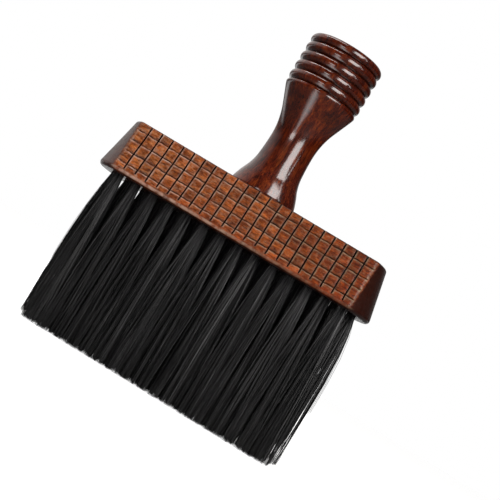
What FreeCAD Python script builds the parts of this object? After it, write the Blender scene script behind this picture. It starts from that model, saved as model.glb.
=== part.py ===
import FreeCAD
import Part
import Sketcher
import math
import os

# Neck duster brush: a drafted hardwood block, a turned handle and three rows of bristle tufts.
# Millimetres. +Z runs up the handle, +X along the block, and the front face looks towards -Y.
# The origin is under the middle of the block, in the plane of the bristle tips.

V = FreeCAD.Vector

SIZES = [
    # alias, value, what it is
    ("bristle_reach", 68.5, "bristle tips to the underside of the block"),
    ("block_height", 22.8, "underside to top face"),
    ("block_length_low", 128.0, "length at the underside, over the curved ends"),
    ("block_length_top", 118.2, "length at the top face, over the curved ends"),
    ("block_depth_low", 45.0, "front to back at the underside"),
    ("block_depth_top", 30.0, "front to back at the top face"),
    ("end_radius", 30.0, "plan radius of both curved ends"),
    ("corner_round", 3.0, "rounding where a long face meets an end"),
    ("rim_round_low", 1.5, "rounding of the bottom rim"),
    ("rim_round_top", 1.2, "rounding of the top rim"),
    ("tile_pitch", 5.0, "saw cuts, centre to centre"),
    ("kerf_count", 21, "saw cuts on each long face"),
    ("kerf_width", 0.6, "width of a saw cut"),
    ("kerf_depth", 1.5, "depth of a saw cut, square to the face"),
    ("kerf_foot", 2.0, "height where a saw cut stops above the underside"),
    ("groove_count", 4, "cross grooves on each long face"),
    ("groove_first", 4.85, "lowest cross groove, up the sloping face"),
    ("groove_pitch", 5.1, "cross grooves, centre to centre up the face"),
    ("groove_width", 0.9, "width of a cross groove at the face"),
    ("groove_depth", 0.6, "depth of a cross groove"),
    ("groove_length", 109.0, "length of a cross groove"),
    ("tuft_pitch", 8.0, "tufts along a row, centre to centre"),
    ("row_pitch", 11.0, "rows, centre to centre"),
    ("outer_tufts", 14, "tufts in the front row and in the back row"),
    ("middle_tufts", 15, "tufts in the middle row"),
    ("hole_diameter", 4.0, "tuft hole"),
    ("hole_depth", 11.0, "tuft hole"),
    ("root_diameter", 3.9, "folded root of a tuft"),
    ("root_length", 10.8, "folded root of a tuft"),
    ("tip_width", 7.5, "tuft at its tips, along the row"),
    ("tip_depth", 10.4, "tuft at its tips, across the row"),
    ("wire_thickness", 0.4, "flat anchor wire"),
    ("wire_height", 2.0, "flat anchor wire"),
    ("wire_length", 5.2, "flat anchor wire, bites the wood on both sides of the hole"),
    ("wire_play", 0.05, "room round the wire on every side"),
    ("fold_thickness", 0.9, "bristle that wraps over the wire at the end of the root"),
    ("dowel_diameter", 10.0, "joining dowel"),
    ("dowel_length", 34.0, "joining dowel"),
    ("dowel_in_block", 9.0, "part of the dowel that sits in the block"),
    ("dowel_chamfer", 1.0, "chamfer on both ends of the dowel"),
    ("flute_count", 12, "glue flutes round the dowel"),
    ("flute_radius", 0.5, "glue flute"),
    ("bore_diameter", 10.1, "dowel bores in block and handle"),
    ("bore_spare", 0.5, "bore depth past each end of the dowel"),
    ("handle_height", 69.0, "top face of the block to the flat end of the handle"),
    ("foot_radius", 14.6, "foot that sits on the block"),
    ("foot_rim", 0.8, "straight edge of the foot"),
    ("foot_curve", 45.0, "gentle outward curve of the foot"),
    ("ankle_radius", 11.8, "handle where the foot ends"),
    ("ankle_height", 8.3, "height where the foot ends"),
    ("cove_curve", 23.0, "hollow above the foot"),
    ("shin_radius", 10.1, "handle where the hollow ends"),
    ("shin_height", 16.0, "height where the hollow ends"),
    ("shin_curve", 95.0, "gentle curve down to the waist"),
    ("waist_radius", 9.75, "thinnest place of the handle"),
    ("waist_height", 24.0, "height of the waist above the block"),
    ("flare_curve", 34.5, "hollow above the waist"),
    ("flare_radius", 12.2, "handle where the straight flare begins"),
    ("flare_height", 36.8, "height where the straight flare begins"),
    ("lip_radius", 16.1, "lip at the top of the flare"),
    ("lip_height", 46.2, "height of the lip"),
    ("lip_curve", 1.5, "rounding of the lip"),
    ("bead_start", 47.6, "height of the lowest bead groove"),
    ("bead_pitch", 4.36, "bead grooves, centre to centre"),
    ("bead_count", 5, "beads, the rounded top rim being the last"),
    ("bead_radius", 16.4, "handle radius at the crown of a bead"),
    ("bead_valley", 14.9, "handle radius at the bottom of a bead groove"),
    ("rim_round_end", 2.3, "rounding from the last crown to the flat end"),
]


def make_sheet(doc):
    sheet = doc.addObject("Spreadsheet::Sheet", "Sizes")
    for row, (alias, value, note) in enumerate(SIZES, start=1):
        sheet.set("A%d" % row, note)
        sheet.set("B%d" % row, str(value))
        sheet.setAlias("B%d" % row, alias)
    doc.recompute()
    return sheet


def make_body(doc, name):
    body = doc.addObject("PartDesign::Body", name)
    body.Label = name
    return body


def origin_item(body, role):
    return next(item for item in body.Origin.OriginFeatures if item.Role == role)


def make_sketch(body, role, name, lift=None):
    """Sketch on one of the body's own planes, raised along that plane's normal by an expression."""
    sketch = body.newObject("Sketcher::SketchObject", name)
    sketch.AttachmentSupport = [(origin_item(body, role), "")]
    sketch.MapMode = "FlatFace"
    if lift:
        sketch.setExpression("AttachmentOffset.Base.z", lift)
    return sketch


def value_of(thing, expression):
    return float(thing.evalExpression(expression))


def bind(sketch, constraint, expression):
    index = sketch.addConstraint(constraint)
    sketch.setExpression("Constraints[%d]" % index, expression)


def pin_point(sketch, geometry, end, across, up):
    """Tie one point of the sketch to a pair of expressions."""
    for kind, axis, expression in (("DistanceX", -2, across), ("DistanceY", -1, up)):
        value = value_of(sketch, expression)
        if value == 0.0:
            sketch.addConstraint(Sketcher.Constraint("PointOnObject", geometry, end, axis))
        else:
            bind(sketch, Sketcher.Constraint(kind, -1, 1, geometry, end, value), expression)


def bulged_arc(first, last, radius, side):
    """Arc of a given radius between two points; side +1 bulges to the left of the way, -1 to the right."""
    middle = (first + last) * 0.5
    half = (last - first).Length / 2
    way = (last - first).normalize()
    left = V(-way.y, way.x, 0)
    rise = radius - math.sqrt(radius ** 2 - half ** 2)
    return Part.Arc(first, middle + left * (side * rise), last)


def closed_outline(sketch, corners, links):
    """Closed chain: corners are pairs of expressions, links are None for a line or (radius, side)."""
    points = [V(value_of(sketch, across), value_of(sketch, up), 0) for across, up in corners]
    ends = []
    for number, link in enumerate(links):
        first = points[number]
        last = points[(number + 1) % len(points)]
        if link is None:
            sketch.addGeometry(Part.LineSegment(first, last), False)
            ends.append((1, 2))
            continue
        radius = value_of(sketch, link[0])
        arc = sketch.addGeometry(bulged_arc(first, last, radius, link[1]), False)
        # An arc in a sketch runs anticlockwise, so its start may be the chain's far point.
        to_start = sketch.getPoint(arc, 1).distanceToPoint(first)
        to_end = sketch.getPoint(arc, 2).distanceToPoint(first)
        starts_first = to_start < to_end
        ends.append((1, 2) if starts_first else (2, 1))
        bind(sketch, Sketcher.Constraint("Radius", arc, radius), link[0])
    for number in range(len(links)):
        following = (number + 1) % len(links)
        sketch.addConstraint(Sketcher.Constraint(
            "Coincident", number, ends[number][1], following, ends[following][0]))
        pin_point(sketch, number, ends[number][0], *corners[number])


def circle_at(sketch, across, up, diameter):
    size = value_of(sketch, diameter)
    centre = V(value_of(sketch, across), value_of(sketch, up), 0)
    circle = sketch.addGeometry(Part.Circle(centre, V(0, 0, 1), size / 2), False)
    bind(sketch, Sketcher.Constraint("Diameter", circle, size), diameter)
    pin_point(sketch, circle, 3, across, up)


def repeat_along_x(body, feature, name, spacing, count):
    """Row of copies of a feature in +X."""
    row = body.newObject("PartDesign::LinearPattern", name)
    row.Originals = [feature]
    row.Direction = (origin_item(body, "X_Axis"), [""])
    row.setExpression("Length", "%s * (%s - 1)" % (spacing, count))
    row.setExpression("Occurrences", count)
    body.Tip = row
    return row


def row_start(count):
    return "-Sizes.tuft_pitch * (%s - 1) / 2" % count


# The three rows: name, side of the middle row, tufts in the row.
ROWS = [
    ("front", -1, "Sizes.outer_tufts"),
    ("middle", 0, "Sizes.middle_tufts"),
    ("back", 1, "Sizes.outer_tufts"),
]

# ---------------------------------------------------------------- block


def plan_outline(sketch, length, depth):
    """Plan of the block: straight front and back, ends of the end radius, tangent corner arcs."""
    radius = "Sizes.end_radius"
    corner = "Sizes.corner_round"
    shrink = "(%s / (%s - %s))" % (radius, radius, corner)
    end_centre = "(%s / 2 - %s)" % (length, radius)
    aside = "(%s / 2 - %s)" % (depth, corner)
    along = "sqrt((%s - %s)^2 - %s^2)" % (radius, corner, aside)
    flat_x = "(%s + %s)" % (end_centre, along)
    flat_y = "(%s / 2)" % depth
    round_x = "(%s + %s * %s)" % (end_centre, along, shrink)
    round_y = "(%s * %s)" % (aside, shrink)
    corners = [
        ("-" + flat_x, "-" + flat_y),
        (flat_x, "-" + flat_y),
        (round_x, "-" + round_y),
        (round_x, round_y),
        (flat_x, flat_y),
        ("-" + flat_x, flat_y),
        ("-" + round_x, round_y),
        ("-" + round_x, "-" + round_y),
    ]
    end = [(corner, -1), (radius, -1), (corner, -1)]
    closed_outline(sketch, corners, [None] + end + [None] + end)


def rim_edges(shape, height):
    """Names of the edges that lie flat at a height."""
    return [
        "Edge%d" % number
        for number, edge in enumerate(shape.Edges, start=1)
        if abs(edge.BoundBox.ZMin - height) < 0.1 and abs(edge.BoundBox.ZMax - height) < 0.1
    ]


def round_edges(body, base, name, names, radius):
    fillet = body.newObject("PartDesign::Fillet", name)
    fillet.Base = (base, names)
    fillet.setExpression("Radius", radius)
    body.Tip = fillet
    body.Document.recompute()
    return fillet


def face_point(slope, inward):
    """Point on the front face in the sketch of the block's cross-section.

    slope is the way up the sloping face from the bottom rim, inward the depth square to that face.
    """
    lean = "atan((Sizes.block_depth_low - Sizes.block_depth_top) / 2 / Sizes.block_height)"
    across = "(-Sizes.block_depth_low / 2 + (%s) * sin(%s) + (%s) * cos(%s))" % (slope, lean, inward, lean)
    up = "((%s) * cos(%s) - (%s) * sin(%s))" % (slope, lean, inward, lean)
    return across, up


def mirrored(corners):
    return [("-" + across, up) for across, up in reversed(corners)]


def cut_pocket(body, sketch, name, length, symmetric, reverse=False):
    pocket = body.newObject("PartDesign::Pocket", name)
    pocket.Profile = sketch
    pocket.setExpression("Length", length)
    if symmetric:
        pocket.Midplane = True
    pocket.Reversed = reverse
    body.Tip = pocket
    return pocket


def make_block(doc):
    body = make_body(doc, "brush_block")
    body.setExpression("Placement.Base.z", "Sizes.bristle_reach")
    low_plan = make_sketch(body, "XY_Plane", "block_low_plan")
    plan_outline(low_plan, "Sizes.block_length_low", "Sizes.block_depth_low")
    top_plan = make_sketch(body, "XY_Plane", "block_top_plan", "Sizes.block_height")
    plan_outline(top_plan, "Sizes.block_length_top", "Sizes.block_depth_top")
    blank = body.newObject("PartDesign::AdditiveLoft", "block_blank")
    blank.Profile = top_plan
    blank.Sections = [low_plan]
    blank.Ruled = True
    body.Tip = blank
    doc.recompute()

    tall = value_of(blank, "Sizes.block_height")
    low_rim = rim_edges(blank.Shape, 0.0)
    rounded = round_edges(body, blank, "block_low_rim", low_rim, "Sizes.rim_round_low")
    top_rim = rim_edges(rounded.Shape, tall)
    round_edges(body, rounded, "block_top_rim", top_rim, "Sizes.rim_round_top")

    cut_grooves(body)
    cut_kerfs(body)
    drill_tuft_holes(body)
    drill_dowel_bore(body)
    return body


def cut_grooves(body):
    """Cross grooves, V-shaped, along the front and the back face."""
    sketch = make_sketch(body, "YZ_Plane", "groove_sections")
    for number in range(int(value_of(sketch, "Sizes.groove_count"))):
        middle = "Sizes.groove_first + %d * Sizes.groove_pitch" % number
        corners = [
            face_point(middle + " - Sizes.groove_width / 2", "0"),
            face_point(middle + " - Sizes.groove_width / 2", "-1"),
            face_point(middle + " + Sizes.groove_width / 2", "-1"),
            face_point(middle + " + Sizes.groove_width / 2", "0"),
            face_point(middle, "Sizes.groove_depth"),
        ]
        add_section(sketch, corners)
        add_section(sketch, mirrored(corners))
    cut_pocket(body, sketch, "cross_grooves", "Sizes.groove_length", True)


def add_section(sketch, corners):
    """Straight-sided closed section with every corner tied to its expressions."""
    base = sketch.GeometryCount
    points = [V(value_of(sketch, across), value_of(sketch, up), 0) for across, up in corners]
    total = len(points)
    for number in range(total):
        sketch.addGeometry(Part.LineSegment(points[number], points[(number + 1) % total]), False)
    for number in range(total):
        following = (number + 1) % total
        sketch.addConstraint(Sketcher.Constraint("Coincident", base + number, 2, base + following, 1))
        pin_point(sketch, base + number, 1, *corners[number])


def cut_kerfs(body):
    """Saw cuts up both long faces, open at the top rim and stopped above the bottom rim."""
    start = "-Sizes.tile_pitch * (Sizes.kerf_count - 1) / 2"
    sketch = make_sketch(body, "YZ_Plane", "kerf_section", start)
    slope_end = "Sizes.block_height * 1.2"
    corners = [
        face_point("Sizes.kerf_foot", "-1"),
        face_point(slope_end, "-1"),
        face_point(slope_end, "Sizes.kerf_depth"),
        face_point("Sizes.kerf_foot", "Sizes.kerf_depth"),
    ]
    add_section(sketch, corners)
    add_section(sketch, mirrored(corners))
    kerf = cut_pocket(body, sketch, "first_kerfs", "Sizes.kerf_width", True)
    repeat_along_x(body, kerf, "kerfs", "Sizes.tile_pitch", "Sizes.kerf_count")


def drill_tuft_holes(body):
    for name, side, count in ROWS:
        sketch = make_sketch(body, "XY_Plane", "hole_" + name)
        circle_at(sketch, row_start(count), "%d * Sizes.row_pitch" % side, "Sizes.hole_diameter")
        hole = cut_pocket(body, sketch, "first_hole_" + name, "Sizes.hole_depth", False, reverse=True)
        repeat_along_x(body, hole, "holes_" + name, "Sizes.tuft_pitch", count)
        slot = body.newObject("PartDesign::SubtractiveBox", "first_slot_" + name)
        size_wire_box(slot, "Sizes.wire_play")
        place_wire_box(slot, side, count, "Sizes.wire_play", "0")
        body.Tip = slot
        repeat_along_x(body, slot, "slots_" + name, "Sizes.tuft_pitch", count)


def size_wire_box(box, play):
    box.setExpression("Length", "Sizes.wire_length + 2 * " + play)
    box.setExpression("Width", "Sizes.wire_thickness + 2 * " + play)
    box.setExpression("Height", "Sizes.wire_height + 2 * " + play)


WIRE_LOW = "Sizes.root_length - Sizes.fold_thickness - Sizes.wire_height"


def place_wire_box(box, side, count, play, lift):
    """Put a wire-sized box across the first tuft hole of a row; lift is the height of the underside."""
    box.setExpression("Placement.Base.x", "%s - Sizes.wire_length / 2 - %s" % (row_start(count), play))
    near_side = "%d * Sizes.row_pitch - Sizes.wire_thickness / 2 - %s" % (side, play)
    box.setExpression("Placement.Base.y", near_side)
    box.setExpression("Placement.Base.z", "%s + %s - %s" % (lift, WIRE_LOW, play))


def drill_dowel_bore(body):
    sketch = make_sketch(body, "XY_Plane", "dowel_bore_plan", "Sizes.block_height")
    circle_at(sketch, "0", "0", "Sizes.bore_diameter")
    cut_pocket(body, sketch, "dowel_bore", "Sizes.dowel_in_block + Sizes.bore_spare", False)


# ---------------------------------------------------------------- handle and dowel


def handle_outline(beads):
    """Half profile of the handle from the bore's mouth round to the bore's end: corners and links."""
    bore_radius = "Sizes.bore_diameter / 2"
    bore_depth = "Sizes.dowel_length - Sizes.dowel_in_block + Sizes.bore_spare"
    bulge = "(Sizes.bead_radius - Sizes.bead_valley)"
    bead_curve = ("((Sizes.bead_pitch / 2)^2 + %s^2) / (2 * %s)" % (bulge, bulge), -1)
    last_valley = "(Sizes.bead_start + (Sizes.bead_count - 1) * Sizes.bead_pitch)"
    crown_height = "(Sizes.handle_height - Sizes.rim_round_end)"
    rise = "(%s - %s)" % (crown_height, last_valley)
    rim_curve = ("(%s^2 + %s^2) / (2 * %s)" % (rise, bulge, bulge), -1)
    chain = [
        ((bore_radius, "0"), None),
        (("Sizes.foot_radius", "0"), None),
        (("Sizes.foot_radius", "Sizes.foot_rim"), ("Sizes.foot_curve", -1)),
        (("Sizes.ankle_radius", "Sizes.ankle_height"), ("Sizes.cove_curve", 1)),
        (("Sizes.shin_radius", "Sizes.shin_height"), ("Sizes.shin_curve", 1)),
        (("Sizes.waist_radius", "Sizes.waist_height"), ("Sizes.flare_curve", 1)),
        (("Sizes.flare_radius", "Sizes.flare_height"), None),
        (("Sizes.lip_radius", "Sizes.lip_height"), ("Sizes.lip_curve", -1)),
    ]
    for number in range(beads - 1):
        valley_height = "Sizes.bead_start + %d * Sizes.bead_pitch" % number
        chain.append((("Sizes.bead_valley", valley_height), bead_curve))
    chain += [
        (("Sizes.bead_valley", last_valley), rim_curve),
        (("Sizes.bead_radius", crown_height), ("Sizes.rim_round_end", -1)),
        (("Sizes.bead_radius - Sizes.rim_round_end", "Sizes.handle_height"), None),
        (("0", "Sizes.handle_height"), None),
        (("0", bore_depth), None),
        ((bore_radius, bore_depth), None),
    ]
    return [corner for corner, link in chain], [link for corner, link in chain]


def make_handle(doc):
    body = make_body(doc, "handle")
    body.setExpression("Placement.Base.z", "Sizes.bristle_reach + Sizes.block_height")
    sketch = make_sketch(body, "XZ_Plane", "handle_profile")
    corners, links = handle_outline(int(value_of(sketch, "Sizes.bead_count")))
    closed_outline(sketch, corners, links)
    turned = body.newObject("PartDesign::Revolution", "turned_handle")
    turned.Profile = sketch
    turned.ReferenceAxis = (sketch, ["V_Axis"])
    turned.Angle = 360
    body.Tip = turned
    return body


def make_dowel(doc):
    body = make_body(doc, "handle_dowel")
    dowel_foot = "Sizes.bristle_reach + Sizes.block_height - Sizes.dowel_in_block"
    body.setExpression("Placement.Base.z", dowel_foot)
    sketch = make_sketch(body, "XY_Plane", "dowel_circle")
    circle_at(sketch, "0", "0", "Sizes.dowel_diameter")
    rod = body.newObject("PartDesign::Pad", "dowel_rod")
    rod.Profile = sketch
    rod.setExpression("Length", "Sizes.dowel_length")
    body.Tip = rod
    doc.recompute()
    ends = [
        "Edge%d" % number
        for number, edge in enumerate(rod.Shape.Edges, start=1)
        if edge.BoundBox.ZLength < 0.1
    ]
    chamfer = body.newObject("PartDesign::Chamfer", "dowel_ends")
    chamfer.Base = (rod, ends)
    chamfer.setExpression("Size", "Sizes.dowel_chamfer")
    body.Tip = chamfer
    doc.recompute()
    flute_plan = make_sketch(body, "XY_Plane", "flute_circle")
    circle_at(flute_plan, "Sizes.dowel_diameter / 2", "0", "Sizes.flute_radius * 2")
    flute = cut_pocket(body, flute_plan, "first_flute", "Sizes.dowel_length", False, reverse=True)
    flutes = body.newObject("PartDesign::PolarPattern", "flutes")
    flutes.Originals = [flute]
    flutes.Axis = (origin_item(body, "Z_Axis"), [""])
    flutes.Angle = 360
    flutes.setExpression("Occurrences", "Sizes.flute_count")
    body.Tip = flutes
    return body


# ---------------------------------------------------------------- tufts and anchors


def make_tuft(doc, row, side, count, number):
    """One tuft: a folded root in its hole, flaring from the underside down to an oval of tips."""
    name = "tuft_%s_%02d" % (row, number + 1)
    body = make_body(doc, name)
    body.setExpression("Placement.Base.x", "%s + %d * Sizes.tuft_pitch" % (row_start(count), number))
    body.setExpression("Placement.Base.y", "%d * Sizes.row_pitch" % side)
    tips = make_sketch(body, "XY_Plane", name + "_tips")
    oval_at_origin(tips, "Sizes.tip_depth", "Sizes.tip_width")
    neck = make_sketch(body, "XY_Plane", name + "_neck", "Sizes.bristle_reach")
    circle_at(neck, "0", "0", "Sizes.root_diameter")
    flare = body.newObject("PartDesign::AdditiveLoft", name + "_flare")
    flare.Profile = neck
    flare.Sections = [tips]
    flare.Ruled = True
    body.Tip = flare
    root = body.newObject("PartDesign::AdditiveCylinder", name + "_root")
    root.setExpression("Radius", "Sizes.root_diameter / 2")
    root.setExpression("Height", "Sizes.root_length")
    root.setExpression("Placement.Base.z", "Sizes.bristle_reach")
    body.Tip = root
    slot = body.newObject("PartDesign::SubtractiveBox", name + "_slot")
    size_wire_box(slot, "Sizes.wire_play")
    slot.setExpression("Placement.Base.x", "-Sizes.wire_length / 2 - Sizes.wire_play")
    slot.setExpression("Placement.Base.y", "-Sizes.wire_thickness / 2 - Sizes.wire_play")
    slot.setExpression("Placement.Base.z", "Sizes.bristle_reach + %s - Sizes.wire_play" % WIRE_LOW)
    body.Tip = slot
    return body


def oval_at_origin(sketch, major, minor):
    """Ellipse round the sketch's origin with its long axis along the sketch's Y axis."""
    long_half = value_of(sketch, major) / 2
    short_half = value_of(sketch, minor) / 2
    ellipse = sketch.addGeometry(Part.Ellipse(V(0, long_half, 0), V(short_half, 0, 0), V(0, 0, 0)), False)
    sketch.exposeInternalGeometry(ellipse)
    sketch.addConstraint(Sketcher.Constraint("Coincident", ellipse, 3, -1, 1))
    sketch.addConstraint(Sketcher.Constraint("Vertical", 1))
    bind(sketch, Sketcher.Constraint("Distance", 1, long_half * 2), major)
    bind(sketch, Sketcher.Constraint("Distance", 2, short_half * 2), minor)


def make_anchors(doc, row, side, count):
    """The flat wires of one row, one across each tuft's fold."""
    body = make_body(doc, "anchors_" + row)
    body.AllowCompound = True
    wire = body.newObject("PartDesign::AdditiveBox", "first_wire_" + row)
    size_wire_box(wire, "0")
    place_wire_box(wire, side, count, "0", "Sizes.bristle_reach")
    body.Tip = wire
    repeat_along_x(body, wire, "wires_" + row, "Sizes.tuft_pitch", count)
    return body


# ---------------------------------------------------------------- build, check and write


def check(doc, bodies):
    for item in doc.Objects:
        if "Invalid" in item.State or "Error" in item.State:
            raise RuntimeError("%s failed: %s" % (item.Name, item.State))
    for body in bodies:
        shape = body.Shape
        if shape.isNull() or not shape.isValid() or not shape.Solids:
            raise RuntimeError("%s has no valid solid" % body.Label)


def main():
    doc = FreeCAD.newDocument("neck_duster_brush")
    sheet = make_sheet(doc)
    bodies = [make_block(doc), make_handle(doc), make_dowel(doc)]
    for row, side, count in ROWS:
        bodies.append(make_anchors(doc, row, side, count))
        for number in range(int(value_of(sheet, count))):
            bodies.append(make_tuft(doc, row, side, count, number))
    doc.recompute()
    check(doc, bodies)
    os.makedirs("parts", exist_ok=True)
    for body in bodies:
        body.Shape.exportStep(os.path.join("parts", body.Label + ".step"))
        print("%-20s %3d solid(s) %10.1f mm3" % (body.Label, len(body.Shape.Solids), body.Shape.Volume))


main()
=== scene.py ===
"""Looks of a neck duster brush: tiled lacquered block, turned handle and 43 tufts of black bristle."""

import math

import bpy
import numpy as np
from mathutils import Matrix, Vector
from mathutils.geometry import delaunay_2d_cdt


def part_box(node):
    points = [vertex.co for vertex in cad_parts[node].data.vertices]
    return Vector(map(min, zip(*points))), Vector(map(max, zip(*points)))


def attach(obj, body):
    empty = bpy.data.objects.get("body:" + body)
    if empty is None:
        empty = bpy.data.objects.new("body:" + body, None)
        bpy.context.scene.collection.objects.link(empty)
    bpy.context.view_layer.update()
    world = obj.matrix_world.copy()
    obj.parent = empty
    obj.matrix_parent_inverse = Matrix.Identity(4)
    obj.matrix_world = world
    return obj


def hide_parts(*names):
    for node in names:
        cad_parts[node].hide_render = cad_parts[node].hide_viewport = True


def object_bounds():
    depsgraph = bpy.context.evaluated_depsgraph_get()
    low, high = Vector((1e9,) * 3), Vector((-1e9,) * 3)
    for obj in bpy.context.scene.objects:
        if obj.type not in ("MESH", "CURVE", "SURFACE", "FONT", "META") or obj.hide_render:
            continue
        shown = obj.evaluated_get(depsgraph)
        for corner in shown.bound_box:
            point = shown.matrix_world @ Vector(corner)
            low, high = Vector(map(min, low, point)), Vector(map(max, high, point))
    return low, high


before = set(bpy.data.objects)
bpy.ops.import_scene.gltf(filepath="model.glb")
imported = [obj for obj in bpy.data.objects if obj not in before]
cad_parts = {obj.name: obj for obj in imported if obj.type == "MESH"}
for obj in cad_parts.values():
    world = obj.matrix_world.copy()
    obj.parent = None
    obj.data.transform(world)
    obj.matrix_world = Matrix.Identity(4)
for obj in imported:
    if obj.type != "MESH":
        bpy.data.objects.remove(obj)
CAD_LOW, CAD_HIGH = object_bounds()

MM = 0.001
SEED = 41

# Block, in mm. The plan is a bar with bulged ends; both long faces lean in by LEAN.
BLOCK_LOW, BLOCK_HIGH = (np.array(corner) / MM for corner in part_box("brush_block"))
BLOCK_BASE = BLOCK_LOW[2]
BLOCK_TOP = BLOCK_HIGH[2]
HEIGHT = BLOCK_TOP - BLOCK_BASE
LENGTH_LOW = 128.0
LENGTH_TOP = 118.2
DEPTH_LOW = 45.0
DEPTH_TOP = 30.0
END_RADIUS = 30.0
CORNER_RADIUS = 3.0
RIM_LOW = 1.5
RIM_TOP = 1.2
RIM_STEPS = 6
CORNER_STEPS = 8
END_STEPS = 26
LEAN = math.atan((DEPTH_LOW - DEPTH_TOP) / 2 / HEIGHT)
TILE_PITCH = 5.0
KERF_COUNT = 21
LAST_KERF = KERF_COUNT // 2
# Along a face from its middle: outer side of the last kerf, two mesh columns past it, end of the tiles' tones.
CUT_LIMIT = 50.6
MARGIN_COLUMN = 51.0
FLAT_LIMIT = 51.5
TONE_LIMIT = 55
GROOVE_FIRST = 4.85
GROOVE_PITCH = 5.1
GROOVE_COUNT = 4
# Half sections of the cuts: (distance from the middle, depth).
KERF_SECTION = ((0, 1.5), (0.23, 1.46), (0.285, 1.3), (0.3, 0.24), (0.34, 0.12), (0.42, 0.04), (0.58, 0))
GROOVE_SECTION = ((0, 0.62), (0.12, 0.56), (0.28, 0.32), (0.43, 0.13), (0.58, 0.04), (0.8, 0))
# Mesh columns and rows between two cuts, from the first one's middle, and rows below and above all grooves.
TILE_COLUMNS = (1.1, 1.8, 2.5, 3.2, 3.9)
TILE_ROWS = (1.4, 2.2, 3.0, 3.8)
ROWS_BELOW = (2.05, 2.2, 2.4, 2.6, 2.8, 3.0, 3.6)
ROWS_ABOVE = (20.4, 20.9, 21.3, 21.6, 21.8)
# The kerfs run out between these heights.
KERF_FOOT = (2.0, 2.9)
# Where the tiled field starts and ends, up the slope, and how far behind a face its points can lie.
TILES_UP = (1.4, 23.6)
FACE_DEPTH = 3.0
# Tiles are crowned and tipped by up to this much; tones and tilts are drawn for this many columns.
PILLOW = 0.1
TIPPING = 0.09
TONE_COLUMNS = 24
# Rubbed lacquer and painted highlight are full on the lit sides, right of a kerf and below a groove, and have
# this share on their shaded sides.
SHADED_SIDE_SHARE = 0.12

# Tufts, in mm.
HOLE_RADIUS = 2.0
HOLE_CHAMFER = 0.25
HOLE_DEPTH = 11.0
HOLE_SIDES = 20
TUFT_PITCH = 8.0
ROW_PITCH = 11.0
HAIRS = 290
STRAYS = 5
HAIR_RADIUS = 0.092
HAIR_SIDES = 3
ROOT_RADIUS = 1.62
FOLD_DEPTH = 9.6
# Filaments of a tuft gather at their tips around this many of them.
LEADERS = 17
# Tufts left of LOOSE_COLUMNS splay later, with slivers of light between them. The middle row's end tufts, past
# OUTERMOST, splay at once.
LOOSE_COLUMNS = -38.0
OUTERMOST = 55.0
TIP_SPREAD = (5.9, 5.4)
# Half widths of the brush at its tips.
PANEL_LEFT = 59.4
PANEL_RIGHT = 60.9
LONGEST_TRIM = 9
# Places along a filament, from its fold above the block's base (negative) to its tip.
DOWN = np.array([-0.14, 0.0, 0.12, 0.26, 0.43, 0.62, 0.81, 1.0])

# Handle, in mm above the block's top: bore for the dowel, foot, waist, flare and five beads.
BORE_RADIUS = 5.05
BORE_DEPTH = 25.5
BORE_IN_BLOCK = 9.5
VALLEY_RADIUS = 14.9
CROWN_RADIUS = 16.4
LIP = 47.6
BEAD_PITCH = 4.36
BEAD_ARC = 2.334
HANDLE_TOP = 69.0
LATHE_SIDES = 224

# Colours, in mm: the block is redder up to this height above its base, the handle's painted light and shade is
# graded over this reach to either side, and the bristles get painted light between these two distances below
# the block.
REDDER_UP_TO = 6
SHADE_REACH = 16
PAINTED_LIGHT_BELOW = (26, 2)


def new_object(name, points, faces, flat_from=None):
    """Mesh object from points in mm and faces as index rows, smooth up to face number flat_from."""
    mesh = bpy.data.meshes.new(name)
    mesh.from_pydata((np.asarray(points, float) * MM).tolist(), [], faces)
    smooth = np.ones(len(mesh.polygons), bool)
    if flat_from is not None:
        smooth[flat_from:] = False
    mesh.polygons.foreach_set("use_smooth", smooth)
    mesh.set_sharp_from_angle(angle=math.radians(38))
    mesh.validate()
    mesh.update()
    obj = bpy.data.objects.new(name, mesh)
    bpy.context.scene.collection.objects.link(obj)
    return obj


def set_attribute(obj, name, values):
    """Number per point that the materials read by name."""
    attribute = obj.data.attributes.new(name, "FLOAT", "POINT")
    attribute.data.foreach_set("value", np.asarray(values, np.float32))


def grid_quads(rows, columns):
    """Quads of a grid of points that closes on itself along its columns."""
    row, column = np.meshgrid(np.arange(rows - 1), np.arange(columns), indexing="ij")
    following = (column + 1) % columns
    low = row * columns
    high = low + columns
    return np.stack((low + column, low + following, high + following, high + column), -1).reshape(-1, 4)


def step(value, low, high):
    """Smooth rise from 0 at low to 1 at high."""
    share = np.clip((value - low) / (high - low), 0, 1)
    return share * share * (3 - 2 * share)


# ---------------------------------------------------------------- block


def both_sides(section):
    """Offsets of a cut's points on both sides of its middle."""
    reach = [offset for offset, _ in section]
    return [-offset for offset in reversed(reach)] + reach[1:]


def kerf_columns():
    """Places along a long face, in mm, dense at each saw cut."""
    around = both_sides(KERF_SECTION)
    places = []
    for number in range(KERF_COUNT):
        middle = (number - (KERF_COUNT - 1) / 2) * TILE_PITCH
        places += [middle + offset for offset in around]
        if number < KERF_COUNT - 1:
            places += [middle + offset for offset in TILE_COLUMNS]
    return np.array([-FLAT_LIMIT, -MARGIN_COLUMN] + places + [MARGIN_COLUMN, FLAT_LIMIT])


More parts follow.
